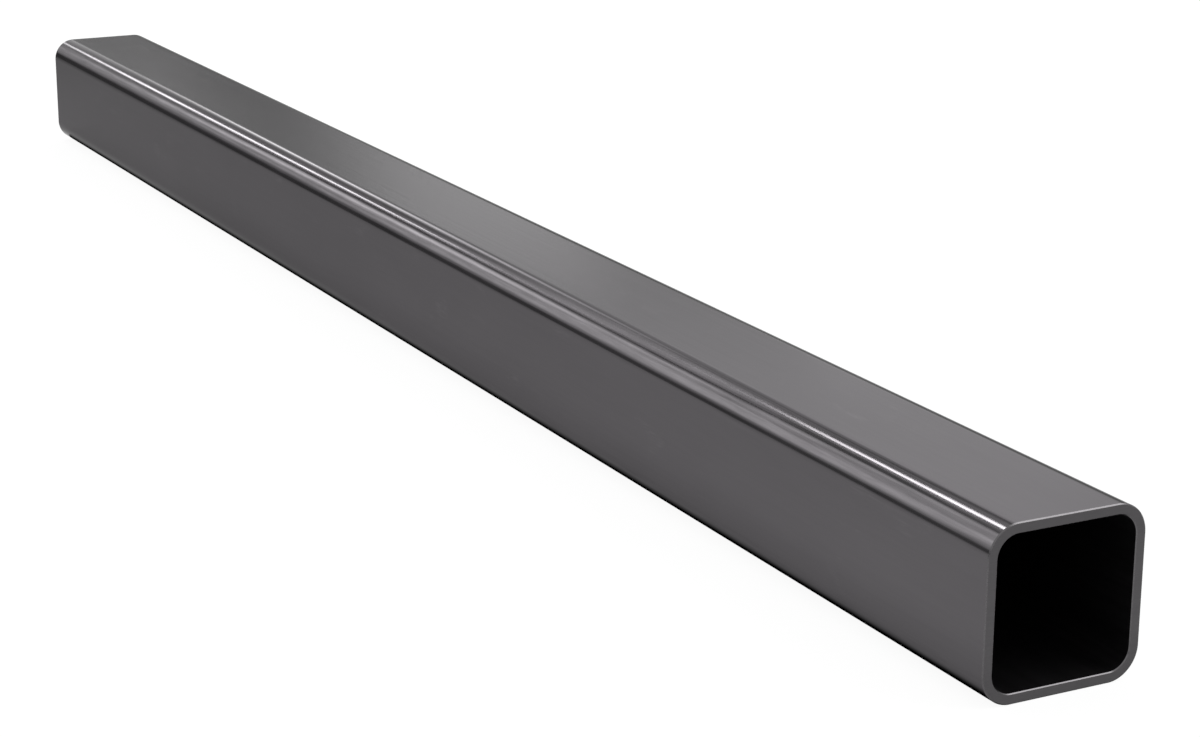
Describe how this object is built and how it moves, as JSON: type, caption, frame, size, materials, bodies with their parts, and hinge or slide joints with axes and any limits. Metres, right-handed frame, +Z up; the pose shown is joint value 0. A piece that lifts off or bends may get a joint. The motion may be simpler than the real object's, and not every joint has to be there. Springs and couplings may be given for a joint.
{
  "type": "square steel tube",
  "caption": "Square steel tube with rounded corners and an open square bore, cut square at both ends, for frames and brackets.",
  "frame": {"origin": "on the floor, under the middle of the tube's length and width", "axes": "+X along the tube to the end nearest the camera in the picture, +Z up, square to the face the tube lies on, +Y to the side face away from the camera"},
  "size_m": [1.2192, 0.0762, 0.0762],
  "materials": {
    "mill_steel": "satin"
  },
  "bodies": {
    "root": {"square_tube": "mill_steel"}
  },
  "joints": []
}
